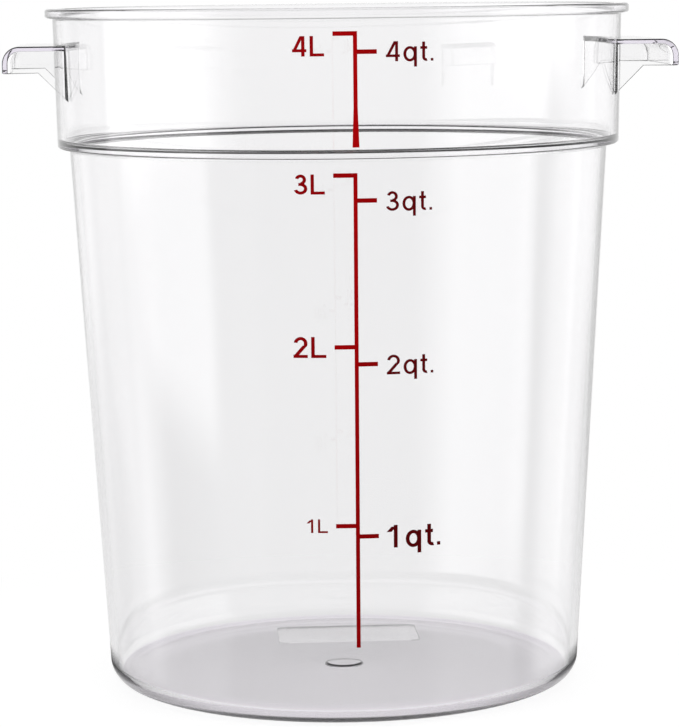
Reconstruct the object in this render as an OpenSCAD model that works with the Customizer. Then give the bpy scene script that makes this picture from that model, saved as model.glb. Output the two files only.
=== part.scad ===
// Round clear food storage container, 4 litres, with two moulded handles
// and a scale printed in red on its front.
//
// The vessel is one injection moulding: base, tapered side wall, shoulder,
// upper band, rim lip and both handles. The scale is ink on its outside.
// +Z is up, the origin is the centre of the underside, the scale faces -Y
// and the handles stand out along +X and -X. Everything is in millimetres.

/* [Vessel] */
// Outer radius of the side wall, drawn on down to the table
base_r = 74.2; // [66:0.1:80]
// How much wider the side wall's radius is at the shoulder
side_flare = 9.9; // [4:0.1:14]
// Height of the underside of the shoulder
shoulder_z = 169.2; // [155:0.1:185]
// How far the shoulder stands out from the side wall
shoulder_out = 3.7; // [3.3:0.1:6]
// Height from the shoulder's underside to the top of the rim
band_h = 43.1; // [38:0.1:55]
// How much wider the upper band's radius is at the rim
band_flare = 0.9; // [0.2:0.1:2]
// Thickness of the side wall and the band
wall = 2.3; // [1.6:0.1:3]
// Thickness of the base at its edge
base_t = 2.8; // [2:0.1:4]
// Thickness of the shoulder's ledge
ledge_t = 1.9; // [1.4:0.1:3.2]

/* [Rounding of the vessel] */
// Outer radius of the foot, between the underside and the side wall
foot_round = 6.7; // [4:0.1:9]
// Radius in the corner under the shoulder
root_round = 1; // [0.3:0.1:1.4]
// Radius of the shoulder's outer corner
shoulder_round = 0.8; // [0.5:0.1:2.5]
// Radius of the ledge's inner edge
ledge_round = 0.8; // [0.4:0.1:1.5]
// Radius in the corner where the band rises from the ledge
ledge_root_round = 1.2; // [0.5:0.1:1.5]

/* [Rim] */
// How far the rim lip stands out from the band
lip_out = 2.3; // [1.6:0.1:4]
// Height of the rim lip
lip_h = 3; // [2.4:0.1:5]
// Radius of the lip's outer edges
lip_round = 0.9; // [0.3:0.1:1.1]
// Radius of the rim's inner edge
rim_inner_round = 0.8; // [0.3:0.1:1]
// Radius in the corner under the lip
lip_root_round = 0.5; // [0.2:0.1:0.8]

/* [Underside] */
// How far the underside rises from the foot to the middle
dish_h = 0.5; // [0.2:0.1:1]
// Width of the flat ring that the vessel stands on
foot_land = 5; // [3:0.5:12]
// Radius of the gate mark in the middle of the base
gate_r = 6; // [4:0.1:9]
// Height of the gate mark above the floor
gate_h = 0.8; // [0.5:0.1:2]
// Depth of the well under the gate mark
gate_well = 0.7; // [0.4:0.1:1.6]
// Width of the plain recessed panel under the back of the base
panel_w = 47; // [30:0.5:60]
// Depth of the panel from front to back
panel_d = 25; // [12:0.5:30]
// Distance of the panel's middle behind the vessel's axis
panel_y = 45; // [30:0.5:47]
// Distance of the panel's middle to the right of the axis
panel_x = 4; // [-8:0.5:8]
// Height of the panel's face above the table
panel_h = 0.8; // [0.5:0.1:1.2]
// Radius of the panel's corners
panel_round = 3; // [1:0.5:5]

/* [Handles] */
// How far a handle stands out from the foot of the band
handle_out = 15.4; // [12:0.1:24]
// Width of a handle along the wall
handle_w = 56; // [40:0.5:70]
// Distance from the rim down to the top of a handle
handle_below_rim = 11.1; // [5:0.1:13]
// Height of a handle's turned-down end
handle_lip_h = 8.2; // [7:0.1:11]
// Length of the straight lower edge, in from the end
handle_edge = 10.8; // [6:0.1:12]
// Thickness of the handle's plate, end and gussets
handle_wall = 1.4; // [1.1:0.1:3]
// Radius where a handle's top turns down into its end
handle_round = 5.2; // [3.5:0.1:6]
// Radius of the edges between the handle's top, end and gussets
handle_edge_round = 0.5; // [0.3:0.1:2]
// Radius inside the corners between the handle's end and gussets
handle_fillet = 2; // [1:0.1:4]

/* [Scale] */
// Thickness of the ink
ink_t = 0.1; // [0.05:0.01:0.2]
// Width of the upright lines
line_w = 1.2; // [0.6:0.1:2]
// Width of the upper line at its foot, where it flares
line_foot_w = 2; // [1.2:0.1:3]
// Height of the upper line's foot above the shoulder
line_above_shoulder = 3.4; // [3.2:0.1:8]
// Height of the flare
flare_h = 11.4; // [4:0.1:14]
// Height of the lower line's foot above the table
line_foot_z = 24.3; // [12:0.1:40]
// Thickness of the marks
mark_t = 1.3; // [0.6:0.1:2]
// Length of the litre marks, left of the line
litre_mark_l = 5.8; // [3:0.1:9]
// Length of the quart marks, right of the line
quart_mark_l = 5.6; // [3:0.1:9]

/* [Heights of the marks] */
// One litre, above the table
litre_1_z = 61.2; // [56:0.1:66]
// Two litres, above the table
litre_2_z = 114.4; // [105:0.1:120]
// Three litres, below the shoulder
litre_3_drop = 4.8; // [3:0.1:9]
// Four litres, below the rim
litre_4_drop = 7.3; // [5:0.1:9]
// One quart, above the table
quart_1_z = 58; // [50:0.1:62]
// Two quarts, above the table
quart_2_z = 109.3; // [100:0.1:115]
// Three quarts, below the shoulder
quart_3_drop = 12.1; // [10:0.1:16]
// Four quarts, below the rim
quart_4_drop = 12.5; // [10:0.1:15]

/* [Hidden] */

$fn = 180;
facet_depth = 0.03;        // how far the facets of a rounded corner lie inside its arc
over = 1;                  // how far a cutting shape runs past what it cuts

clear_plastic = [0.84, 0.86, 0.92, 0.55];
litre_ink = [0.72, 0.02, 0.04];
quart_ink = [0.50, 0.05, 0.07];

height = shoulder_z + band_h;
side_top_r = base_r + side_flare;
band_r = side_top_r + shoulder_out;
band_top_r = band_r + band_flare;
lip_r = band_top_r + lip_out;
side_slope = side_flare / shoulder_z;
band_slope = band_flare / band_h;
inner_foot_round = max(foot_round - wall, 1);
foot_r = base_r + side_slope * foot_round - foot_round / cos(atan(side_slope));
ledge_z = shoulder_z + ledge_t;
litre_z = [litre_1_z, litre_2_z, shoulder_z - litre_3_drop, height - litre_4_drop];
quart_z = [quart_1_z, quart_2_z, shoulder_z - quart_3_drop, height - quart_4_drop];
handle_top = height - handle_below_rim;
handle_reach = band_r + handle_out;
handle_root = base_r;      // inside the cavity, which cuts the handles off at the wall

// ---- outlines with rounded corners -------------------------------------

function unit(v) = v / norm(v);
function angle_of(v) = atan2(v.y, v.x);
function turn(a) = a - 360 * round(a / 360);
function facets(r, sweep) = ceil(abs(sweep) / (2 * acos(1 - facet_depth / r)));

// The points that round the corner b, between its neighbours a and c, to radius r
function rounded_corner(a, b, c, r) =
    let (u = unit(a - b), v = unit(c - b), half = acos(u * v) / 2,
         centre = b + unit(u + v) * r / sin(half),
         start = angle_of(b + u * r / tan(half) - centre),
         sweep = turn(angle_of(b + v * r / tan(half) - centre) - start),
         steps = facets(r, sweep))
    [for (i = [0:steps]) centre + r * [cos(start + sweep * i / steps), sin(start + sweep * i / steps)]];

// A closed outline through corners [x, y, radius]
function rounded(corners) =
    let (n = len(corners), at = function (i) [corners[i % n].x, corners[i % n].y])
    [for (i = [0:n - 1])
        each (corners[i].z > 0
            ? rounded_corner(at(i + n - 1), at(i), at(i + 1), corners[i].z)
            : [at(i)])];

// ---- the vessel ----------------------------------------------------------

function side_r(z) = base_r + side_slope * z;
function band_r_at(z) = band_r + band_slope * (z - shoulder_z);

// The outside as a solid of revolution, drawn larger by grow on every side but the top
function outside(grow) = rounded([
    [0, 0, 0],
    [side_r(0) + grow, 0, foot_round],
    [side_r(shoulder_z - grow) + grow, shoulder_z - grow, root_round],
    [band_r + grow, shoulder_z - grow, shoulder_round],
    [band_r_at(height - lip_h) + grow, height - lip_h - grow, lip_root_round],
    [lip_r + grow, height - lip_h - grow, lip_round],
    [lip_r + grow, height, lip_round],
    [0, height, 0]]);

// The inside: floor with its gate mark, side wall, ledge and band
inside = rounded([
    [0, base_t + gate_h, 0],
    [gate_r - gate_h, base_t + gate_h, gate_h / 2],
    [gate_r, base_t, 0],
    [side_r(base_t) - wall, base_t, inner_foot_round],
    [side_r(ledge_z) - wall, ledge_z, ledge_round],
    [band_r_at(ledge_z) - wall, ledge_z, ledge_root_round],
    [band_r_at(height) - wall, height + over, 0],
    [0, height + over, 0]]);

// What is hollowed out of the underside, so that the vessel stands on a ring
underside = [
    [0, -over], [foot_r - foot_land, -over], [foot_r - foot_land, 0],
    [gate_r, dish_h], [gate_r - gate_well / 2, dish_h + gate_well], [0, dish_h + gate_well]];

module outer_body(grow = 0) rotate_extrude() polygon(outside(grow));

module cavity() {
    rotate_extrude() polygon(inside);
    // The rounded inner edge of the rim
    rim_inner_r = band_r_at(height) - wall;
    rotate_extrude() difference() {
        translate([rim_inner_r - over, height - rim_inner_round])
            square([over + rim_inner_round, rim_inner_round + over]);
        translate([rim_inner_r + rim_inner_round, height - rim_inner_round])
            circle(r = rim_inner_round, $fn = 4 * facets(rim_inner_round, 90));
    }
}

module panel() {
    translate([panel_x, panel_y, -over]) linear_extrude(panel_h + over)
        polygon(rounded([for (corner = [[-1, -1], [1, -1], [1, 1], [-1, 1]])
            [corner.x * panel_w / 2, corner.y * panel_d / 2, panel_round]]));
}

// A handle on the +X side as a solid block, drawn smaller by inset on its top, end
// and sides: the shape that a side view, a view from above and an end view share.
// corner_r rounds the view from above, and edge_r the end view.
module handle_block(inset, side_view, corner_r, edge_r) {
    half_w = handle_w / 2 - inset;
    reach = handle_reach - inset;
    low = shoulder_z;
    intersection() {
        translate([0, half_w, 0]) rotate([90, 0, 0]) linear_extrude(2 * half_w) polygon(side_view);
        translate([0, 0, low]) linear_extrude(height - low)
            polygon(rounded([[handle_root, -half_w, 0], [reach, -half_w, corner_r],
                             [reach, half_w, corner_r], [handle_root, half_w, 0]]));
        translate([handle_root, 0, 0]) rotate([90, 0, 90]) linear_extrude(reach - handle_root)
            polygon(rounded([[-half_w, low, 0], [half_w, low, 0],
                             [half_w, handle_top - inset, edge_r], [-half_w, handle_top - inset, edge_r]]));
    }
}

// A handle is a channel, open below, between two gussets that slope back to the wall
module handle() {
    edge_z = handle_top - handle_lip_h;
    edge_x = handle_reach - handle_edge;
    gusset_foot = edge_z - (edge_x - handle_root);
    difference() {
        handle_block(0, rounded([
            [handle_root, gusset_foot, 0], [edge_x, edge_z, 0.5], [handle_reach, edge_z, 0.3],
            [handle_reach, handle_top, handle_round], [handle_root, handle_top, 0]]),
            handle_edge_round, handle_edge_round);
        handle_block(handle_wall, rounded([
            [handle_root, shoulder_z, 0], [handle_reach - handle_wall, shoulder_z, 0],
            [handle_reach - handle_wall, handle_top - handle_wall, handle_round - handle_wall],
            [handle_root, handle_top - handle_wall, 0]]),
            handle_fillet, 0);
    }
}

module vessel() {
    color(clear_plastic) difference() {
        union() {
            outer_body();
            handle();
            mirror([1, 0, 0]) handle();
        }
        cavity();
        rotate_extrude() polygon(underside);
        panel();
    }
}

// ---- the printed scale ---------------------------------------------------

// Ink on the front of the wall, as a front view shows its outline
module ink(front_view) {
    difference() {
        intersection() {
            outer_body(ink_t);
            rotate([90, 0, 0]) linear_extrude(lip_r + over) polygon(front_view);
        }
        outer_body();
    }
}

module scale_line_upper() {
    foot = shoulder_z + line_above_shoulder;
    top = litre_z[3] + mark_t / 2;
    color(litre_ink) ink([
        [-line_foot_w / 2, foot], [line_foot_w / 2, foot],
        [line_w / 2, foot + flare_h], [line_w / 2, top],
        [-line_w / 2, top], [-line_w / 2, foot + flare_h]]);
}

module scale_line_lower() {
    top = litre_z[2] + mark_t / 2;
    color(litre_ink) ink([
        [-line_w / 2, line_foot_z], [line_w / 2, line_foot_z], [line_w / 2, top], [-line_w / 2, top]]);
}

// A mark from x0 to x1 at the height z
module mark(x0, x1, z) {
    ink([[x0, z - mark_t / 2], [x1, z - mark_t / 2], [x1, z + mark_t / 2], [x0, z + mark_t / 2]]);
}

module litre_mark(count) {
    color(litre_ink) mark(-line_w / 2 - litre_mark_l, -line_w / 2, litre_z[count - 1]);
}

module quart_mark(count) {
    color(quart_ink) mark(line_w / 2, line_w / 2 + quart_mark_l, quart_z[count - 1]);
}

vessel();
scale_line_upper();
scale_line_lower();
litre_mark(1);  // litre_mark_1
litre_mark(2);  // litre_mark_2
litre_mark(3);  // litre_mark_3
litre_mark(4);  // litre_mark_4
quart_mark(1);  // quart_mark_1
quart_mark(2);  // quart_mark_2
quart_mark(3);  // quart_mark_3
quart_mark(4);  // quart_mark_4
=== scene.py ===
"""A round clear food storage container with moulded handles and a scale printed in red.

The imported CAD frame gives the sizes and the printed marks. The vessel is worked out again
here as one smooth skin, because a clear moulding shows every facet of its surface.
Everything is in metres, with +Z up, the scale facing -Y and the handles along X.
"""

import math

import bpy
import numpy as np
from bpy.props import FloatProperty, FloatVectorProperty, IntProperty, PointerProperty
from bpy.types import Operator, Panel, PropertyGroup
from mathutils import Matrix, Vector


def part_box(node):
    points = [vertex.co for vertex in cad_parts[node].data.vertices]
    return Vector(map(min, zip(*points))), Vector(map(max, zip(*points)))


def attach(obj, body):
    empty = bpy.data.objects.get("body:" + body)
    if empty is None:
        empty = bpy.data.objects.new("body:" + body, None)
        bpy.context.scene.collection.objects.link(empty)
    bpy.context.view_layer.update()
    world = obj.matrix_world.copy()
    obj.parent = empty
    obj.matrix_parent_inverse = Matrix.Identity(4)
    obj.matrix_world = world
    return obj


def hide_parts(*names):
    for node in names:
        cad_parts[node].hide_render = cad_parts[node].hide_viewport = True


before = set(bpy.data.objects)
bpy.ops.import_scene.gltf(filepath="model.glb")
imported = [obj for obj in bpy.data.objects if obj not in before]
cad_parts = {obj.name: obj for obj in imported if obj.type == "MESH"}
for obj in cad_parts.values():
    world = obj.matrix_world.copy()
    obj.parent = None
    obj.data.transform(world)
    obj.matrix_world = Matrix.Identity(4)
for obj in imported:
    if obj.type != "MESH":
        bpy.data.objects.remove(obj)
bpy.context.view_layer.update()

bl_info = {
    "name": "Round food storage container",
    "version": (1, 0, 0),
    "blender": (4, 5, 0),
    "location": "View3D > Sidebar > Container",
    "description": "Makes a round clear food storage container with a printed volume scale",
    "category": "Object",
}

VESSEL_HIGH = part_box("vessel")[1]
LITRE_MARKS = ["litre_mark_1", "litre_mark_2", "litre_mark_3", "litre_mark_4"]
QUART_MARKS = ["quart_mark_1", "quart_mark_2", "quart_mark_3", "quart_mark_4"]
SCALE_LINES = ["scale_line_upper", "scale_line_lower"]

SAME_SKIN = math.cos(math.radians(32))  # faces that turn less than this are shaded as one
ON_OUTLINE = 0.00003  # how near the outline a face's middle lies that belongs to the turned body
WHITE = (1, 1, 1, 1)
HANDLE_PLACE = 0.6  # how far up the band its radius is taken for the handles' roots
SHARP = 0.0001  # radius of an edge that is nearly sharp
SLOPE_BULGE, KNEE_BULGE = 0.3, 0.6  # shares of the lower edges' bulge on and below the slopes


# ---- sizes and colours that a user would change ---------------------------------


def length(name, default, description):
    """A size in metres."""
    kind = {"unit": "LENGTH", "subtype": "DISTANCE", "precision": 4}
    return FloatProperty(name=name, description=description, default=default, **kind)


def angle(name, degrees, description):
    """An angle, given in degrees and kept in radians."""
    kind = {"unit": "ROTATION", "subtype": "ANGLE"}
    return FloatProperty(name=name, description=description, default=math.radians(degrees), **kind)


def tint(name, default, description):
    """A linear colour."""
    kind = {"subtype": "COLOR", "size": 3, "min": 0.0, "max": 1.0}
    return FloatVectorProperty(name=name, description=description, default=default, **kind)


def share(name, default, description, top=1.0):
    """A plain number from nothing to top."""
    return FloatProperty(name=name, description=description, default=default, min=0.0, max=top)


class VesselSettings(PropertyGroup):
    """Sizes of the clear moulding"""

    height: length("Height", VESSEL_HIGH.z, "From the table to the top of the rim")
    base_radius: length("Base radius", 0.0742, "Outer radius of the side wall at the table")
    side_top_radius: length("Side radius", 0.0841, "Outer radius of the side wall at the shoulder")
    shoulder_height: length("Shoulder", 0.1692, "Height of the shoulder's underside")
    band_radius: length("Band radius", 0.0878, "Outer radius of the upper band at the shoulder")
    band_top_radius: length("Band top radius", 0.0887, "Outer radius of the upper band at the rim")
    wall: length("Wall", 0.0023, "Thickness of the side wall and the band")
    base_thickness: length("Base", 0.0028, "Thickness of the base at its edge")
    ledge: length("Ledge", 0.0019, "Thickness of the shoulder's ledge")
    shoulder_round: length("Shoulder rounding", 0.0008, "Radius of the shoulder's outer edge")
    root_round: length("Root rounding", 0.0010, "Radius where the shoulder leaves the side")
    ledge_round: length("Ledge rounding", 0.0008, "Radius of the ledge's inner edge")
    ledge_root_round: length("Ledge corner", 0.0012, "Radius where the band rises from the ledge")
    lip_radius: length("Lip radius", 0.0910, "Outer radius of the rim lip")
    lip_height: length("Lip height", 0.0030, "Height of the rim lip")
    lip_round: length("Lip rounding", 0.0009, "Radius of the lip's outer edges")
    rim_round: length("Rim rounding", 0.0008, "Radius of the rim's inner edge")
    lip_root_round: length("Lip corner", 0.0005, "Radius under the lip")
    foot_round: length("Foot rounding", 0.0067, "Radius between the underside and the side wall")
    dish: length("Dish", 0.0005, "How far the underside rises to its middle")
    foot_land: length("Foot ring", 0.0050, "Width of the ring that the vessel stands on")
    gate_radius: length("Gate mark", 0.0060, "Radius of the gate mark in the middle of the base")
    gate_height: length("Gate height", 0.0005, "Height of the gate mark above the floor")
    gate_well: length("Gate well", 0.0007, "Depth of the well under the gate mark")
    panel_width: length("Panel width", 0.0470, "Width of the sunk panel in the underside")
    panel_depth: length("Panel depth", 0.0250, "Depth of the panel from front to back")
    panel_x: length("Panel to the right", 0.0040, "How far the panel's middle lies to the right")
    panel_y: length("Panel to the back", 0.0450, "How far the panel's middle lies to the back")
    panel_round: length("Panel corners", 0.0030, "Radius of the panel's corners")
    panel_height: length("Panel height", 0.0008, "How far the panel is sunk")
    around: IntProperty(name="Steps", description="Facets round the vessel", default=360, min=24)


class HandleSettings(PropertyGroup):
    """Sizes of the two moulded handles"""

    reach: length("Reach", VESSEL_HIGH.x, "From the vessel's axis to the end of a handle")
    width: length("Width", 0.0560, "Width of a handle along the wall")
    below_rim: length("Below rim", 0.0111, "From the rim down to the top of a handle")
    lip: length("End height", 0.0082, "Height of the turned-down end")
    edge: length("Lower edge", 0.0108, "Length of the straight lower edge")
    wall: length("Wall", 0.0014, "Thickness of a handle")
    rounding: length("Rounding", 0.0052, "Radius where the top turns down into the end")
    edge_rounding: length("Edges", 0.0005, "Radius between the top, the end and the gussets")
    lower_rounding: length("Lower edges", 0.0003, "How far the lower edges bulge")
    fillet: length("Fillet", 0.0020, "Radius inside the corners between the end and the gussets")
    root_round: length("Root", 0.0006, "Radius where a handle spreads into the band")


class PrintSettings(PropertyGroup):
    """Sizes of the printed figures"""

    ink: length("Ink", 0.0001, "Thickness of the ink")
    gap: length("Gap", 0.0088, "From the middle of the line to the figures")
    litre_ink: tint("Litre ink", (0.52, 0.0005, 0.002), "Colour of the lines and litre marks")
    quart_ink: tint("Quart ink", (0.42, 0.0008, 0.002), "Colour of the quart marks")
    figure_ink: tint("Figure ink", (0.40, 0.002, 0.004), "Colour of the litre figures")
    dark_ink: tint("Dark ink", (0.165, 0.003, 0.005), "Colour of the quart figures")


class PlasticSettings(PropertyGroup):
    """Colours of the clear plastic"""

    ior: share("Refraction", 1.585, "Index of refraction of polycarbonate", 3.0)
    haze: tint("Tint", (0.80, 0.74, 0.86), "What is left of white light after a long way")
    depth: share("Tint depth", 15.0, "Share absorbed in a metre", 1000.0)
    frost: tint("Frosted tint", (0.97, 0.905, 1.0), "Colour of the frosted underside")


class StageSettings(PropertyGroup):
    """The floor, the lights and the camera"""

    floor_gap: length("Floor gap", 0.0002, "How far the floor lies under the foot")
    lens: FloatProperty(name="Lens", description="Focal length in millimetres", default=148.86)
    distance: length("Distance", 0.9464, "From the vessel's axis to the camera, over the table")
    camera_height: length("Camera height", 0.2193, "Height of the camera above the table")
    pitch: angle("Pitch", 7.218, "How far the camera looks down")
    turn: angle("Turn", 3.30, "How far the camera stands round to the left of the scale")
    yaw: angle("Yaw", -0.024, "How far the camera looks to the left of the axis")
    roll: angle("Roll", -0.662, "How far the camera leans")


# ---- outlines and surfaces ---------------------------------------------------------


def rounded(corners, step=math.radians(5)):
    """An outline with its corners rounded, and its outward normals.

    corners are (x, y, radius), with the material on the left. Each corner b between the
    directions u and v becomes an arc about b + (u + v) / |u + v| * radius / sin(half angle).
    """
    corners = np.array(corners, float)
    points, normals = [], []
    before, after = np.roll(corners, 1, 0), np.roll(corners, -1, 0)
    for (ax, ay, _), (bx, by, radius), (cx, cy, _) in zip(before, corners, after):
        b = np.array((bx, by))
        u, v = np.array((ax, ay)) - b, np.array((cx, cy)) - b
        u, v = u / np.linalg.norm(u), v / np.linalg.norm(v)
        half = math.acos(np.clip(u @ v, -1, 1)) / 2
        if radius <= 0:
            side = np.array((-u[1], u[0])) + np.array((v[1], -v[0]))
            points.append(b[None])
            normals.append((side / np.linalg.norm(side))[None])
            continue
        centre = b + (u + v) / np.linalg.norm(u + v) * radius / math.sin(half)
        first = b + u * radius / math.tan(half) - centre
        last = b + v * radius / math.tan(half) - centre
        start = math.atan2(first[1], first[0])
        sweep = (math.atan2(last[1], last[0]) - start + math.pi) % (2 * math.pi) - math.pi
        turn = start + sweep * np.linspace(0, 1, max(2, math.ceil(abs(sweep) / step)) + 1)
        arc = np.stack((np.cos(turn), np.sin(turn)), 1)
        points.append(centre + radius * arc)
        normals.append(arc * math.copysign(1, sweep))
    return np.concatenate(points), np.concatenate(normals)


def grid_faces(rows, columns, closed=False):
    """Quads of a grid of rows x columns points, its last column joined to its first if closed."""
    across = np.arange(columns if closed else columns - 1)
    row, column = np.meshgrid(np.arange(rows - 1), across, indexing="ij")
    here, ahead = row * columns + column, row * columns + (column + 1) % columns
    return np.stack((here, ahead, ahead + columns, here + columns), -1).reshape(-1, 4)


def welded(points, quads):
    """The surface with points that coincide made one, and quads that shrink made triangles."""
    same_place = 1e-8
    spots = np.round(points / same_place)
    _, keep, place = np.unique(spots, axis=0, return_index=True, return_inverse=True)
    quads = place.reshape(-1)[quads]
    same = quads == np.roll(quads, -1, axis=1)
    whole = quads[~same.any(1)]
    thin = quads[same.sum(1) == 1]
    skip = same[same.sum(1) == 1].argmax(1)[:, None]
    triangles = np.take_along_axis(thin, (skip + np.arange(1, 4)) % 4, axis=1)
    triangles = triangles[(triangles[:, 0] != triangles[:, 2])]
    return points[keep], whole.tolist() + triangles.tolist()


def mesh_of(name, points, faces):
    """A mesh from points and faces."""
    mesh = bpy.data.meshes.new(name)
    mesh.from_pydata(points, [], faces)
    mesh.validate()
    mesh.update()
    return mesh


def piece(name, mesh, material):
    """A finished piece of the container, riding on its body, with the slot of its finish."""
    made = bpy.data.objects.new(name, mesh)
    bpy.context.scene.collection.objects.link(made)
    mesh.materials.clear()
    mesh.materials.append(material)
    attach(made, "root")
    return made


# ---- the vessel ------------------------------------------------------------------


def slopes(v):
    """How far the side wall and the band lean outwards, for each metre of height."""
    flare = (v.side_top_radius - v.base_radius) / v.shoulder_height
    spread = (v.band_top_radius - v.band_radius) / (v.height - v.shoulder_height)
    return flare, spread


def side_at(v, z):
    """Outer radius of the side wall at height z."""
    return v.base_radius + slopes(v)[0] * z


def band_at(v, z):
    """Outer radius of the band at height z."""
    return v.band_radius + slopes(v)[1] * (z - v.shoulder_height)


def vessel_outline(v):
    """The vessel's section: from the underside's middle out, up to the rim and down inside."""
    well_edge, well_mouth, ring_edge, gate_foot = 0.0002, 0.0003, 0.002, 0.0004  # small radii
    top, wall, gate, shoulder = v.height, v.wall, v.gate_radius, v.shoulder_height
    ledge_top = shoulder + v.ledge
    lip_low = top - v.lip_height
    foot = side_at(v, v.foot_round) - v.foot_round / math.cos(math.atan(slopes(v)[0]))
    well = v.dish + v.gate_well
    gate_top = v.base_thickness + v.gate_height
    return rounded(
        [
            (0, well, 0),
            (gate - v.gate_well / 2, well, well_edge),
            (gate, v.dish, well_mouth),
            (foot - v.foot_land, 0, ring_edge),
            (side_at(v, 0), 0, v.foot_round),
            (side_at(v, shoulder), shoulder, v.root_round),
            (v.band_radius, shoulder, v.shoulder_round),
            (band_at(v, lip_low), lip_low, v.lip_root_round),
            (v.lip_radius, lip_low, v.lip_round),
            (v.lip_radius, top, v.lip_round),
            (band_at(v, top) - wall, top, v.rim_round),
            (band_at(v, ledge_top) - wall, ledge_top, v.ledge_root_round),
            (side_at(v, ledge_top) - wall, ledge_top, v.ledge_round),
            (side_at(v, v.base_thickness) - wall, v.base_thickness, v.foot_round - wall),
            (gate, v.base_thickness, gate_foot),
            (gate - v.gate_height, gate_top, v.gate_height / 2),
            (0, gate_top, 0),
        ]
    )


def turned(outline, count):
    """The outline turned about Z: x = r sin a, y = -r cos a."""
    around = np.arange(count) / count * 2 * math.pi
    r, z = outline[:, 0][:, None], outline[:, 1][:, None]
    points = np.stack((r * np.sin(around), -r * np.cos(around), z + 0 * around), -1)
    return welded(points.reshape(-1, 3), grid_faces(len(outline), count, closed=True))


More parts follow.
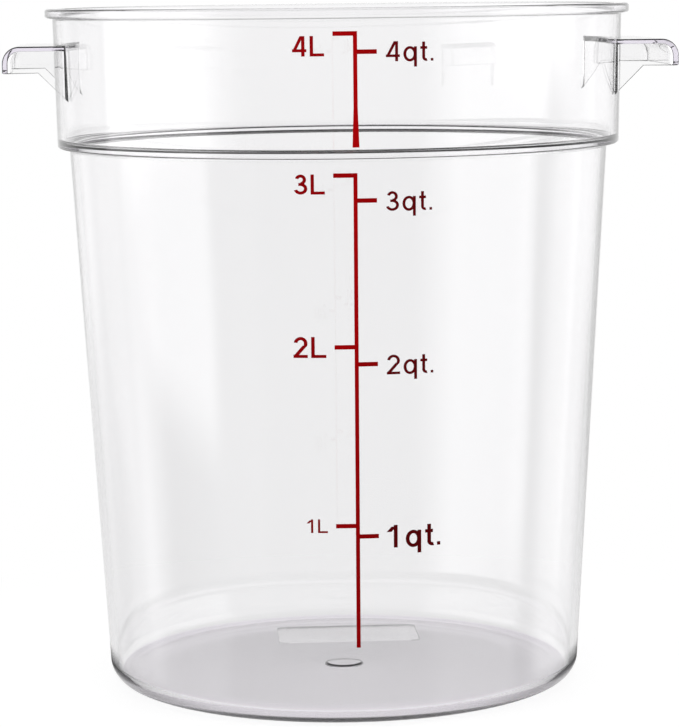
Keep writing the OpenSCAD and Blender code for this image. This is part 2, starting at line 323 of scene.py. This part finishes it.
def handle_shell(v, h, side):
    """One handle as a closed shell, its root inside the band's wall.

    s runs along the side view: out along the top, round the corner and down the end. t runs across
    it, from one gusset over the top to the other. A point is the side view's point at s, moved
    inwards by edge * (1 - cos t) and across by edge * sin t, where edge is the edge's radius at s.
    At the wall the shell spreads in a quarter circle of the root's radius. The lower edges are
    half ellipses carried along the gussets and the end: the way from the outer skin to the inner
    one, plus a bulge of sqrt(1 - (2u - 1)^2) downwards.
    """
    top = v.height - h.below_rim
    low = top - h.lip
    bulge = h.lower_rounding
    bend = h.reach - h.edge - bulge * (math.sqrt(2) - 1)
    surface = v.band_radius + (v.band_top_radius - v.band_radius) * HANDLE_PLACE
    near, flat_steps, corner_steps, end_steps = 8, 9, 12, 6  # points of s, from the root outwards
    past = flat_steps + corner_steps + end_steps
    quarter = np.linspace(0, math.pi / 2, near - 1)
    corner = np.linspace(0, math.pi / 2, corner_steps + 1)[1:]
    turn = np.concatenate((np.zeros(near + flat_steps), corner, np.full(end_steps, math.pi / 2)))
    away = np.concatenate(
        ([-v.wall / 2], h.root_round * (1 - np.cos(quarter)), np.full(past, h.root_round))
    )
    spread = np.concatenate(([h.root_round], h.root_round * (1 - np.sin(quarter)), np.zeros(past)))
    way_out = np.linspace(0, 1, flat_steps + 1)[1:]
    out = np.concatenate((np.zeros(near), way_out, np.ones(corner_steps + end_steps)))
    way_down = np.linspace(0, 1, end_steps + 1)[1:]
    down = np.concatenate((np.zeros(near + flat_steps + corner_steps), way_down))

    def wall_at(y):
        return np.sqrt(surface**2 - y**2)

    def sheet(skin, spread, edge_at_top, edge_at_end):
        """The top, the corner and the end, skin below the outer surface, and the gussets' feet."""
        half, ring = h.width / 2 - skin + spread, h.rounding - skin
        edge = edge_at_top + (edge_at_end - edge_at_top) * np.sin(turn) ** 2
        bow = np.linspace(math.pi / 2, 0, 7)[:, None]
        flat = np.linspace(-1, 1, 17)[1:-1, None]
        across, rest = edge * np.sin(bow), half - edge
        y = np.concatenate((-rest - across, flat * rest, rest + across[::-1]))
        dip = edge * (1 - np.cos(bow))
        inward = np.concatenate((dip, 0 * (flat * edge), dip[::-1]))
        x = wall_at(y) + away
        x = x + (h.reach - h.rounding - x) * out + (ring - inward) * np.sin(turn)
        z = top - skin + spread - inward * np.cos(turn) - ring * (1 - np.cos(turn))
        z = z + (low + bulge - z) * down
        feet = np.append(x[0, :near], bend)
        lower = np.stack((feet, feet * 0, feet - bend + low + bulge), 1)
        ends = np.append(half[:near], h.width / 2 - skin)
        return np.stack((x, y, z), -1), [lower + np.outer(ends, (0, way, 0)) for way in (-1, 1)]

    outside = sheet(0.0, spread, h.edge_rounding, h.edge_rounding)
    inside = sheet(h.wall, -spread, SHARP, h.fillet)
    grids, gussets = zip(outside, inside)
    rows, columns = grids[0].shape[:2]
    count = rows * columns
    grid = np.arange(count).reshape(rows, columns)
    foot = 2 * count + np.arange(4 * (near + 1)).reshape(2, 2, near + 1)
    lines = [(foot[k, 0], grid[:, -1] + k * count, foot[k, 1, ::-1]) for k in (0, 1)]
    loops = [np.concatenate(line) for line in lines]
    skins = [skin.reshape(-1, 3) for skin in grids]
    points = np.concatenate(skins + [line for pair in gussets for line in pair])
    slope = np.array((math.sqrt(0.5), 0, -math.sqrt(0.5))) * SLOPE_BULGE
    knee = np.array((math.sqrt(2) - 1, 0, -1)) * KNEE_BULGE
    drop = np.array([slope] * near + [knee] + [(0, 0, -1)] * rows + [knee] + [slope] * near)
    part = np.linspace(0, 1, 7)[1:-1, None, None]
    edge = points[loops[0]] * (1 - part) + points[loops[1]] * part
    edge = edge + drop * bulge * np.sqrt(1 - (2 * part - 1) ** 2)
    middle = len(points) + np.arange(len(part) * len(drop)).reshape(len(part), -1)
    under = np.concatenate((loops[0][None], middle, loops[1][None]))
    points = np.concatenate((points, edge.reshape(-1, 3)))

    skin = grid_faces(rows, columns)
    faces = skin.tolist() + (skin[:, ::-1] + count).tolist()
    strip = grid_faces(*under.shape)[:, ::-1]
    faces += under.reshape(-1)[strip].tolist()
    for k in (0, 1):
        for end, row in ((0, 0), (1, -1)):
            above, below = grid[row] + k * count, foot[k, end]
            gusset = [[below[i], below[i + 1], above[i + 1], above[i]] for i in range(near - 1)]
            gusset.append([below[near - 1], below[near], *above[: near - 2 : -1]])
            faces += gusset if k == end else [face[::-1] for face in gusset]
    outer, inner = ([foot[k, 0, 0], *(grid[:, 0] + k * count), foot[k, 1, 0]] for k in (0, 1))
    faces += [[outer[i], outer[i + 1], inner[i + 1], inner[i]] for i in range(rows + 1)]
    faces += [under[::-1, 0].tolist(), under[:, -1].tolist()]
    faces = [[int(i) for i in face] for face in faces]
    return points * (side, 1, 1), faces if side > 0 else [face[::-1] for face in faces]


def panel_block(v):
    """What is sunk into the underside: a flat block with rounded corners, up to the panel."""
    x, y = v.panel_width / 2, v.panel_depth / 2
    corners = ((-x, -y), (x, -y), (x, y), (-x, y))
    outline, _ = rounded([(*corner, v.panel_round) for corner in corners], math.radians(10))
    outline = outline + (v.panel_x, v.panel_y)
    count = len(outline)
    levels = (-0.001, v.panel_height)
    points = np.concatenate([np.column_stack((outline, np.full(count, z))) for z in levels])
    sides = grid_faces(2, count, closed=True).tolist()
    return points, sides + [list(range(count))[::-1], list(range(count, 2 * count))]


def smooth_normals(mesh, outline, normals):
    """Gives each corner on the turned surface the outline's own normal, and the rest smooth ones.

    A point at radius r and height z lies on the piece of the outline nearest to it, and takes the
    normal that runs from one end of that piece to the other. Elsewhere a corner's normal is the
    mean of the faces that meet there within 32 degrees of its own, each weighed by its area.
    """
    mesh.shade_smooth()

    def read(collection, name, width, kind=float):
        values = np.empty(len(collection) * width, kind)
        collection.foreach_get(name, values)
        return values.reshape(-1, width) if width > 1 else values

    corner = read(mesh.loops, "vertex_index", 1, np.int64)
    points = read(mesh.vertices, "co", 3)
    centres = read(mesh.polygons, "center", 3)
    sides = read(mesh.polygons, "loop_total", 1, np.int64)
    facing = np.repeat(read(mesh.polygons, "normal", 3), sides, axis=0)
    heavy = facing * np.repeat(read(mesh.polygons, "area", 1), sides)[:, None]

    # Corners at one point are neighbours in this order, and there are at most ten of them.
    most = 10
    order = np.argsort(corner, kind="stable")
    shaded = heavy.copy()
    for step in range(1, most):
        a, b = order[:-step], order[step:]
        near = (corner[a] == corner[b]) & ((facing[a] * facing[b]).sum(1) > SAME_SKIN)
        a, b = a[near], b[near]
        shaded[a] += heavy[b]
        shaded[b] += heavy[a]
    shaded /= np.maximum(np.linalg.norm(shaded, axis=1), 1e-20)[:, None]

    a, b = outline[:-1], outline[1:]
    along = b - a
    reach = (along**2).sum(1)

    def nearest(places):
        """How far each place lies from the outline, at which piece of it, and how far along."""
        flat = np.stack((np.hypot(places[:, 0], places[:, 1]), places[:, 2]), 1)
        away, which, part = [], [], []
        at_once = 4000  # spares memory
        for chunk in np.array_split(flat, max(1, len(flat) // at_once)):
            step = chunk[:, None] - a
            k = np.clip((step * along).sum(2) / reach, 0, 1)
            gap = np.linalg.norm(step - k[..., None] * along, axis=2)
            best = gap.argmin(1)
            pick = np.arange(len(chunk))
            away.append(gap[pick, best])
            which.append(best)
            part.append(k[pick, best])
        return np.concatenate(away), np.concatenate(which), np.concatenate(part)

    off, _, _ = nearest(centres)
    on_body = np.repeat(off < ON_OUTLINE, sides)
    _, which, part = nearest(points)
    radial = normals[which] + (normals[which + 1] - normals[which]) * part[:, None]
    radial /= np.linalg.norm(radial, axis=1)[:, None]
    r = np.maximum(np.hypot(points[:, 0], points[:, 1]), 1e-9)
    level = radial[:, 0] / r
    exact = np.stack((level * points[:, 0], level * points[:, 1], radial[:, 1]), 1)
    shaded[on_body] = exact[corner][on_body]
    mesh.normals_split_custom_set(shaded)


def joined(body, handles, panel):
    """The body's mesh with the handles' shells joined to it and the panel's block cut from it."""
    objects = [bpy.data.objects.new(mesh.name, mesh) for mesh in (body, handles, panel)]
    for made in objects:
        bpy.context.scene.collection.objects.link(made)
    for operation, other in (("UNION", objects[1]), ("DIFFERENCE", objects[2])):
        step = objects[0].modifiers.new(operation, "BOOLEAN")
        step.operation = operation
        step.solver = "EXACT"
        step.object = other
    shown = objects[0].evaluated_get(bpy.context.evaluated_depsgraph_get())
    mesh = bpy.data.meshes.new_from_object(shown)
    for made in objects:
        bpy.data.objects.remove(made)
    return mesh


# ---- materials -------------------------------------------------------------------


class Signal:
    """A socket that carries a number. An expression on it adds its Math nodes."""

    def __init__(self, paint, socket):
        self.paint = paint
        self.socket = socket

    def math(self, operation, *values):
        return self.paint.node("ShaderNodeMath", {"operation": operation}, dict(enumerate(values)))

    def __add__(self, other):
        return self.math("ADD", self, other)

    __radd__ = __add__

    def __mul__(self, other):
        return self.math("MULTIPLY", self, other)

    __rmul__ = __mul__

    def __sub__(self, other):
        return self.math("SUBTRACT", self, other)

    def __rsub__(self, other):
        return self.math("SUBTRACT", other, self)

    def power(self, other):
        return self.math("POWER", self, other)

    def __getitem__(self, name):
        """Another output of the same node."""
        return Signal(self.paint, self.socket.node.outputs[name])

    def between(self, low, high):
        """0 below low and 1 above high, with a soft step between them."""
        settings = {"interpolation_type": "SMOOTHSTEP"}
        sockets = {"Value": self, "From Min": low, "From Max": high}
        return self.paint.node("ShaderNodeMapRange", settings, sockets)


class Paint:
    """A material, or the world, and its nodes."""

    def __init__(self, owner):
        owner.use_nodes = True
        self.owner = owner
        self.tree = owner.node_tree
        self.tree.nodes.clear()

    def node(self, kind, settings, sockets, output=0):
        """Adds a node: its settings, then its sockets' values or links. Gives one output."""
        made = self.tree.nodes.new(kind)
        for name, value in settings.items():
            setattr(made, name, value)
        for key, value in sockets.items():
            if isinstance(value, Signal):
                self.tree.links.new(value.socket, made.inputs[key])
            else:
                made.inputs[key].default_value = value
        return Signal(self, made.outputs[output]) if made.outputs else made

    def place(self):
        return self.node("ShaderNodeTexCoord", {}, {}, "Object")

    def noise(self, scale, detail=2.0, stretch=(1, 1, 1)):
        spot = self.node("ShaderNodeMapping", {}, {"Vector": self.place(), "Scale": stretch})
        sockets = {"Vector": spot, "Scale": scale, "Detail": detail}
        return self.node("ShaderNodeTexNoise", {}, sockets)

    def mix(self, factor, a, b):
        sockets = {"Factor": factor, "A": a, "B": b}
        return self.node("ShaderNodeMix", {"data_type": "RGBA"}, sockets, "Result")

    def bump(self, height, distance):
        return self.node("ShaderNodeBump", {}, {"Height": height, "Distance": distance})


def clear_plastic(v, c):
    """Clear moulded polycarbonate.

    The walls are glossy, with faint flow waves and a few scuffs. The underside is frosted, and the
    panel sunk into it about half as much.
    """
    frost_low, frost_top = 0.0016, 0.0024  # the frost ends between these heights
    soft = 0.0002  # half the width of the soft step round the panel
    panel_frost = 0.55
    paint = Paint(bpy.data.materials.new("clear_polycarbonate"))
    east = paint.node("ShaderNodeSeparateXYZ", {}, {"Vector": paint.place()}, "X")
    wide, deep = v.panel_width / 2, v.panel_depth / 2
    across = east.math("ABSOLUTE", east - v.panel_x).between(wide - soft, wide + soft)
    back = east.math("ABSOLUTE", east["Y"] - v.panel_y).between(deep - soft, deep + soft)
    panel = (1 - across) * (1 - back)
    frosted = (1 - east["Z"].between(frost_low, frost_top)) * (1 - panel * (1 - panel_frost))
    scuffs = paint.noise(scale=900, detail=3, stretch=(1, 1, 0.3)).between(0.62, 0.8)
    grain = paint.noise(scale=1500)
    waves = paint.noise(scale=11, detail=1.5, stretch=(1, 1, 0.35)) + frosted * grain * 0.03
    surface = paint.node(
        "ShaderNodeBsdfPrincipled",
        {},
        {
            "Base Color": paint.mix(frosted * (0.7 + grain * 0.5), WHITE, (*c.frost, 1)),
            "Roughness": frosted * 0.3 + scuffs * (1 - frosted) * 0.03,
            "IOR": c.ior,
            "Transmission Weight": 1.0,
            "Normal": paint.bump(waves, 0.00035),
        },
    )
    sockets = {"Color": (*c.haze, 1), "Density": c.depth}
    inside = paint.node("ShaderNodeVolumeAbsorption", {}, sockets)
    paint.node("ShaderNodeOutputMaterial", {}, {"Surface": surface, "Volume": inside})
    return paint.owner


def printed_ink(name, color):
    """Printed ink: a film with a faint shine, a little cloudy, that darkens towards the base."""
    darkest = 0.62  # share of the colour that is left where it is darkest
    paint = Paint(bpy.data.materials.new(name))
    height = paint.node("ShaderNodeSeparateXYZ", {}, {"Vector": paint.place()}, "Z")
    low = 1 - height.between(0.03, 0.19)
    cloud = paint.noise(scale=260, detail=3).between(0.35, 0.75)
    deep = tuple(value * darkest for value in color)
    base = paint.mix(low * 0.8 + cloud * 0.15, (*color, 1), (*deep, 1))
    surface = paint.node(
        "ShaderNodeBsdfPrincipled",
        {},
        {
            "Base Color": base,
            "Roughness": 0.32 + cloud * 0.18,
            "Specular IOR Level": 0.04,
            "Normal": paint.bump(paint.noise(scale=2600), 0.00002),
        },
    )
    paint.node("ShaderNodeOutputMaterial", {}, {"Surface": surface})
    return paint.owner


def pale_floor():
    """A matt white table that fades into the white backdrop.

    The eye, straight or through the plastic, sees it shine by itself as well, and a little more
    under the vessel, a painted pool of light for the light that clear plastic gathers there, so
    that only a faint shadow is left. What the plastic mirrors is a painted reflection: the table
    glows in a ring under the foot's edge alone, and past the foot the plastic mirrors the dark
    room below.
    """
    # The extra glow under the vessel is a painted pool of light, and the ring's glow a painted
    # reflection
    shine, painted_pool_shine, painted_ring_shine = 0.85, 0.98, 0.8
    # Distances from the vessel's axis, between which one part passes softly into the next
    under, ring_in, ring_out = (0.060, 0.074), (0.058, 0.066), (0.074, 0.082)
    fade, dark = (0.082, 0.2), (0.08, 0.1)
    paint = Paint(bpy.data.materials.new("pale_floor"))
    rays = paint.node("ShaderNodeLightPath", {}, {}, "Is Camera Ray")
    mirrored = rays.math("GREATER_THAN", rays["Glossy Depth"], 0.5)
    straight = rays.math("MAXIMUM", rays, rays["Is Transmission Ray"]) * (1 - mirrored)
    east = paint.node("ShaderNodeSeparateXYZ", {}, {"Vector": paint.place()}, "X")
    away = (east * east + east["Y"] * east["Y"]).power(0.5)
    # Painted reflection: a ring under the foot's edge that glows for mirrored rays alone
    painted_reflection_ring = away.between(*ring_in) * (1 - away.between(*ring_out))
    # Painted pool of light: the table glows more right under the vessel, for light the plastic
    # gathers there
    floor_glow = painted_pool_shine - away.between(*under) * (painted_pool_shine - shine)
    grain = paint.noise(scale=30, detail=3) * 0.5
    table = paint.node(
        "ShaderNodeBsdfPrincipled",
        {},
        {
            "Base Color": paint.mix(grain, (0.18, 0.18, 0.18, 1), (0.17, 0.17, 0.175, 1)),
            "Roughness": 0.7,
            "Emission Color": WHITE,
            "Emission Strength": (straight + mirrored * painted_reflection_ring * painted_ring_shine) * floor_glow,
        },
    )
    backdrop = paint.node("ShaderNodeEmission", {}, {"Color": WHITE, "Strength": 1.0})
    below = paint.node("ShaderNodeBsdfTransparent", {}, {"Color": WHITE})
    sockets = {0: straight * away.between(*fade), 1: table, 2: backdrop}
    above = paint.node("ShaderNodeMixShader", {}, sockets)
    sockets = {0: mirrored * away.between(*dark), 1: above, 2: below}
    whole = paint.node("ShaderNodeMixShader", {}, sockets)
    paint.node("ShaderNodeOutputMaterial", {}, {"Surface": whole})
    return paint.owner


def studio_world(world):
    """Plain light all round, before a white backdrop.

    What the eye sees, straight or through clear plastic, is the white backdrop, with the dark of
    the ceiling high above it. What the plastic mirrors is the backdrop behind the vessel with a
    dimmer strip on its left, a dim room round it that darkens downwards and upwards, and a tall
    soft box at each side. Matt surfaces get one even level.
    """
    matt_level, room_level, box_level, strip_level = 0.62, 0.52, 1.4, 0.36
    paint = Paint(world)
    rays = paint.node("ShaderNodeLightPath", {}, {}, "Is Camera Ray")
    mirrored = rays.math("GREATER_THAN", rays["Glossy Depth"], 0.5)
    soft = rays.math("GREATER_THAN", rays["Diffuse Depth"], 0.5)
    clear = rays.math("MAXIMUM", rays["Is Glossy Ray"], rays["Is Transmission Ray"]) * (1 - soft)
    way = paint.node("ShaderNodeTexCoord", {}, {}, "Generated")
    east = paint.node("ShaderNodeSeparateXYZ", {}, {"Vector": way}, "X")
    up = east["Z"]
    cloud = paint.node("ShaderNodeTexNoise", {}, {"Vector": way, "Scale": 5.0, "Detail": 2.0})
    turn = east.math("ARCTAN2", east, 0 - east["Y"]) + cloud * 0.16 - 0.08

    # turn is in radians to the right of the front, and up is the sine of the height
    right_box = turn.between(0.94, 1.15) * (1 - turn.between(1.65, 1.95))
    right_box = right_box * up.between(-0.075, -0.035)
    left_box = (1 - turn.between(-1.12, -0.70)) * turn.between(-1.95, -1.75)
    left_box = left_box * up.between(-0.16, -0.09)
    behind = turn.math("ABSOLUTE", turn).between(1.55, 1.95)
    behind = behind * (0.87 + up.between(-0.17, -0.11) * 0.13)
    strip = turn.between(-2.6, -2.3) * (1 - turn.between(-2.0, -1.8))
    room = up.between(-0.20, 0.0) * room_level
    lit = room + behind * (1 - room) + (right_box + left_box) * box_level - strip * strip_level
    lit = lit * (1 - up.between(0.30, 0.45) * 0.5)
    ceiling = 1 - up.between(0.45, 0.8) * 0.95
    level = (mirrored * lit + (1 - mirrored)) * ceiling
    level = rays + (1 - rays) * (clear * level + (1 - clear) * matt_level)
    sky = paint.node("ShaderNodeBackground", {}, {"Color": WHITE, "Strength": level})
    paint.node("ShaderNodeOutputWorld", {}, {"Surface": sky})


# ---- the printed figures -----------------------------------------------------------


def bar(left, right, low, high):
    """A straight stroke as its two edges."""
    return np.array([(left, low), (left, high)]), np.array([(right, low), (right, high)])


def slant(x0, y0, x1, y1, width):
    """A leaning stroke with level ends."""
    half = width / 2 * math.hypot(x1 - x0, y1 - y0) / abs(y1 - y0)
    middle = np.array([(x0, y0), (x1, y1)])
    return middle - (half, 0), middle + (half, 0)


def bowl(x, y, wide, high, first, last, width):
    """A curved stroke: an arc of an ellipse, and a second ellipse the stroke's width inside it."""
    turn = np.radians(np.linspace(first, last, 25))
    inside = wide - width, high - 0.9 * width
    outer = np.stack((x + wide * np.cos(turn), y + high * np.sin(turn)), 1)
    inner = np.stack((x + inside[0] * np.cos(turn), y + inside[1] * np.sin(turn)), 1)
    return inner, outer


def glyph(letter, w):
    """Strokes of one figure or letter, one unit high, with strokes w wide, and its width."""
    thin = 0.88 * w
    if letter == "1":
        return [bar(0.44 - w, 0.44, 0, 1), slant(0.06, 0.70, 0.36 - w / 2, 0.93, 0.9 * w)], 0.62
    if letter == "2":
        end = math.radians(-32)
        knee = (0.345 + (0.325 - w / 2) * math.cos(end), 0.69 + (0.31 - w / 2) * math.sin(end))
        return [
            bowl(0.345, 0.69, 0.325, 0.31, 172, -32, w),
            slant(0.62 * w, thin * 0.6, knee[0], knee[1] + 0.02, w),
            bar(0.0, 0.68, 0, thin),
        ], 0.68
    if letter == "3":
        return [
            bowl(0.33, 0.735, 0.28, 0.265, 165, -90, w),
            bowl(0.33, 0.29, 0.34, 0.29, 90, -165, w),
            bar(0.22, 0.36, 0.58 - thin, 0.58),
        ], 0.67
    if letter == "4":
        return [
            bar(0.62 - w, 0.62, 0, 1),
            bar(0, 0.71, 0.21, 0.21 + thin),
            slant(0.62 * w, 0.21 + thin * 0.5, 0.60 - w * 0.8, 1.0, w * 0.92),
        ], 0.71
    if letter == "L":
        return [bar(0, w, 0, 1), bar(0, 0.71, 0, thin)], 0.71
    if letter == "q":
        return [bowl(0.34, 0.36, 0.34, 0.385, 0, 360, w), bar(0.70 - w, 0.70, -0.28, 0.73)], 0.70
    if letter == "t":
        return [
            bar(0.10, 0.10 + w, 0.18, 0.96),
            bar(0, 0.36, 0.73 - thin, 0.73),
            bowl(0.10 + 1.45 * w, 0.19, 1.45 * w, 0.20, 180, 285, w),
        ], 0.37
    return [bar(0, 0.9 * w, 0, 0.9 * w)], 0.9 * w


def strokes_of(text, cap, weight, gaps):
    """All strokes of a short text, cap high, from x = 0, and the text's width."""
    strokes, pen = [], 0.0
    for letter in text:
        shapes, width = glyph(letter, weight)
        strokes += [(a + (pen, 0), b + (pen, 0)) for a, b in shapes]
        pen += width + gaps
    return [(a * cap, b * cap) for a, b in strokes], (pen - gaps) * cap


def on_wall(v, x, z, lift):
    """Points of the front wall: x metres round it from the middle, z up it, lift above it."""
    r = np.where(z < v.shoulder_height, side_at(v, z), band_at(v, z))
    turn = x / r
    return np.stack(((r + lift) * np.sin(turn), -(r + lift) * np.cos(turn), z), -1)


def ink_film(v, stroke, ink):
    """A stroke as a closed film on the wall: a rectangle carried along the stroke.

    The two edges are points(s), and the rectangle runs from one edge on the wall, up through the
    ink, across to the other edge, down to the wall and back. The middles of its long sides are
    points as well.
    """
    a, b = stroke
    fewest = 7
    steps = np.linspace(0, 1, max(len(a), fewest))
    at = np.linspace(0, 1, len(a))
    a, b = (np.stack([np.interp(steps, at, edge[:, k]) for k in (0, 1)], 1) for edge in (a, b))
    section = [(a, 0.0), (a, ink), ((a + b) / 2, ink), (b, ink), (b, 0.0), ((a + b) / 2, 0.0)]
    rows = np.stack([on_wall(v, edge[:, 0], edge[:, 1], lift) for edge, lift in section], 1)
    count = len(section)
    side = (b[0] - a[0])[0] * (a[1] - a[0])[1] - (b[0] - a[0])[1] * (a[1] - a[0])[0]
    quads = grid_faces(len(rows), count, closed=True)
    last = (len(rows) - 1) * count
    ends = np.array([(0, 1, 2, 5), (5, 2, 3, 4)])
    quads = np.concatenate((quads, ends[:, ::-1], ends + last))
    return rows.reshape(-1, 3), quads if side > 0 else quads[:, ::-1]


def printed(v, labels, ink):
    """All strokes of several texts as one mesh.

    A label is its text, left end, foot, height, and its strokes' width and the gaps between
    letters as shares of that height.
    """
    points, quads, count = [], [], 0
    for text, left, foot, cap, weight, gaps in labels:
        strokes, _ = strokes_of(text, cap, weight, gaps)
        for stroke in strokes:
            shifted = tuple(edge + (left, foot) for edge in stroke)
            p, q = ink_film(v, shifted, ink)
            points.append(p)
            quads.append(q + count)
            count += len(p)
    return np.concatenate(points), np.concatenate(quads)


# ---- operators --------------------------------------------------------------------


class CONTAINER_OT_vessel(Operator):
    """Makes the clear vessel with its handles, as one moulding"""

    bl_idname = "container.vessel"
    bl_label = "Vessel"

    def execute(self, context):
        v, h = context.scene.container_vessel, context.scene.container_handles
        outline, normals = vessel_outline(v)
        body = mesh_of("body", *turned(outline, v.around))
        right, left = handle_shell(v, h, 1), handle_shell(v, h, -1)
        shift = len(right[0])
        points = np.concatenate((right[0], left[0]))
        faces = right[1] + [[i + shift for i in face] for face in left[1]]
        mesh = joined(body, mesh_of("handles", points, faces), mesh_of("panel", *panel_block(v)))
        smooth_normals(mesh, outline, normals)
        mesh.name = "clear_vessel"
        plastic = clear_plastic(v, context.scene.container_plastic)
        made = piece("clear_vessel", mesh, plastic)
        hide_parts("vessel")
        return {"FINISHED"}


class CONTAINER_OT_scale(Operator):
    """Gives the printed lines and marks their ink"""

    bl_idname = "container.scale"
    bl_label = "Scale lines and marks"

    def execute(self, context):
        s = context.scene.container_print
        for names, material, color in (
            (SCALE_LINES + LITRE_MARKS, "litre_print", s.litre_ink),
            (QUART_MARKS, "quart_print", s.quart_ink),
        ):
            ink = printed_ink(material, tuple(color))
            for name in names:
                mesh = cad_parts[name].data
                mesh.materials.clear()
                mesh.materials.append(ink)
        return {"FINISHED"}


class CONTAINER_OT_figures(Operator):
    """Prints the figures beside the marks"""

    bl_idname = "container.figures"
    bl_label = "Figures"

    def execute(self, context):
        v, s = context.scene.container_vessel, context.scene.container_print
        # Text, height, how far its middle lies over the mark's, and its strokes' width in heights
        litres = [
            ("1L", 0.0041, 0.0, 0.16),
            ("2L", 0.0062, 0.0, 0.17),
            ("3L", 0.0058, -0.0025, 0.17),
            ("4L", 0.0058, -0.0035, 0.17),
        ]
        quarts = [
            ("1qt.", 0.0068, -0.0003, 0.17),
            ("2qt.", 0.0058, -0.0003, 0.15),
            ("3qt.", 0.0057, -0.0003, 0.15),
            ("4qt.", 0.0057, 0.0, 0.15),
        ]
        for name, slot, color, figures, marks, gaps in (
            ("litre_figures", "litre_ink", s.figure_ink, litres, LITRE_MARKS, 0.16),
            ("quart_figures", "quart_ink", s.dark_ink, quarts, QUART_MARKS, 0.18),
        ):
            labels = []
            for (text, cap, rise, weight), mark in zip(figures, marks):
                low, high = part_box(mark)
                width = strokes_of(text, cap, weight, gaps)[1]
                left = -s.gap - width if marks is LITRE_MARKS else s.gap
                foot = (low.z + high.z) / 2 + rise - cap / 2
                labels.append((text, left, foot, cap, weight, gaps))
            points, quads = printed(v, labels, s.ink)
            ink = printed_ink(name + "_print", tuple(color))
            piece(name, mesh_of(name, points, quads.tolist()), ink)
        return {"FINISHED"}


class CONTAINER_OT_stage(Operator):
    """Sets the floor, the lights and the camera"""

    bl_idname = "container.stage"
    bl_label = "Stage"

    def execute(self, context):
        scene, s = context.scene, context.scene.container_stage
        scene.view_settings.view_transform = "Standard"
        scene.world = bpy.data.worlds.new("studio")
        studio_world(scene.world)

        floor_reach, floor_points = 6, 13
        line = np.linspace(-floor_reach, floor_reach, floor_points)
        x, y = np.meshgrid(line, line)
        points = np.stack((x, y, 0 * x - s.floor_gap), -1).reshape(-1, 3)
        floor_mesh = mesh_of("floor", points, grid_faces(*x.shape).tolist())
        floor_mesh.materials.append(pale_floor())
        floor = bpy.data.objects.new("floor", floor_mesh)
        scene.collection.objects.link(floor)

        # Soft boxes: name, degrees round from the front, distance, height, width, tallness, power
        lit_place = np.array((0, 0, 0.1))
        for name, way, away, middle, width, tall, power in (
            ("right_softbox", 62, 1.5, 0.75, 0.7, 1.5, 9.0),
            ("left_softbox", -66, 1.5, 0.75, 0.9, 1.5, 11.0),
            ("top_softbox", 0, 0.6, 2.2, 1.4, 1.4, 10.0),
        ):
            lamp = bpy.data.lights.new(name, "AREA")
            lamp.shape = "RECTANGLE"
            lamp.size, lamp.size_y, lamp.energy = width, tall, power
            lit = bpy.data.objects.new(name, lamp)
            turn = math.radians(way)
            lit.location = (away * math.sin(turn), -away * math.cos(turn), middle)
            aim = lit_place - np.array(lit.location)
            rise = math.atan2(aim[2], math.hypot(aim[0], aim[1]))
            round_z = math.atan2(aim[1], aim[0])
            lit.rotation_euler = (math.pi / 2 + rise, 0, round_z - math.pi / 2)
            lit.visible_glossy = lit.visible_transmission = False
            scene.collection.objects.link(lit)

        camera = bpy.data.cameras.new("camera")
        camera.lens = s.lens
        camera.clip_start, camera.clip_end = 0.05, 60
        eye = bpy.data.objects.new("camera", camera)
        scene.collection.objects.link(eye)
        heading = s.turn + s.yaw
        ahead = np.array((math.sin(heading), math.cos(heading), 0))
        forward = ahead * math.cos(s.pitch) - (0, 0, math.sin(s.pitch))
        level = np.cross(forward, (0, 0, 1))
        level /= np.linalg.norm(level)
        rise = np.cross(level, forward)
        right = math.cos(s.roll) * level + math.sin(s.roll) * rise
        up = math.cos(s.roll) * rise - math.sin(s.roll) * level
        place = (-s.distance * math.sin(s.turn), -s.distance * math.cos(s.turn), s.camera_height)
        rows = [(*row, where) for row, where in zip(np.stack((right, up, -forward), 1), place)]
        eye.matrix_world = Matrix(rows + [(0, 0, 0, 1)])
        scene.camera = eye
        return {"FINISHED"}


class CONTAINER_PT_panel(Panel):
    """Makes the container's pieces one by one"""

    bl_label = "Food storage container"
    bl_idname = "CONTAINER_PT_panel"
    bl_space_type = "VIEW_3D"
    bl_region_type = "UI"
    bl_category = "Container"

    def draw(self, context):
        for name, operators in GROUPS.items():
            box = self.layout.box()
            box.label(text=name.removeprefix("container_").capitalize())
            for operator in operators:
                box.operator(operator)
            for key in getattr(context.scene, name).__annotations__:
                box.prop(getattr(context.scene, name), key)


GROUPS = {
    "container_vessel": ["container.vessel"],
    "container_handles": [],
    "container_plastic": [],
    "container_print": ["container.scale", "container.figures"],
    "container_stage": ["container.stage"],
}
SETTINGS = {
    "container_vessel": VesselSettings,
    "container_handles": HandleSettings,
    "container_plastic": PlasticSettings,
    "container_print": PrintSettings,
    "container_stage": StageSettings,
}
OPERATORS = (CONTAINER_OT_vessel, CONTAINER_OT_scale, CONTAINER_OT_figures, CONTAINER_OT_stage)


def register():
    for group in (*SETTINGS.values(), *OPERATORS, CONTAINER_PT_panel):
        bpy.utils.register_class(group)
    for name, group in SETTINGS.items():
        setattr(bpy.types.Scene, name, PointerProperty(type=group))


def unregister():
    for name in SETTINGS:
        delattr(bpy.types.Scene, name)
    for group in (CONTAINER_PT_panel, *reversed(OPERATORS), *SETTINGS.values()):
        bpy.utils.unregister_class(group)


def main():
    register()
    bpy.ops.container.vessel()
    bpy.ops.container.scale()
    bpy.ops.container.figures()
    bpy.ops.container.stage()


if __name__ == "__main__":
    main()
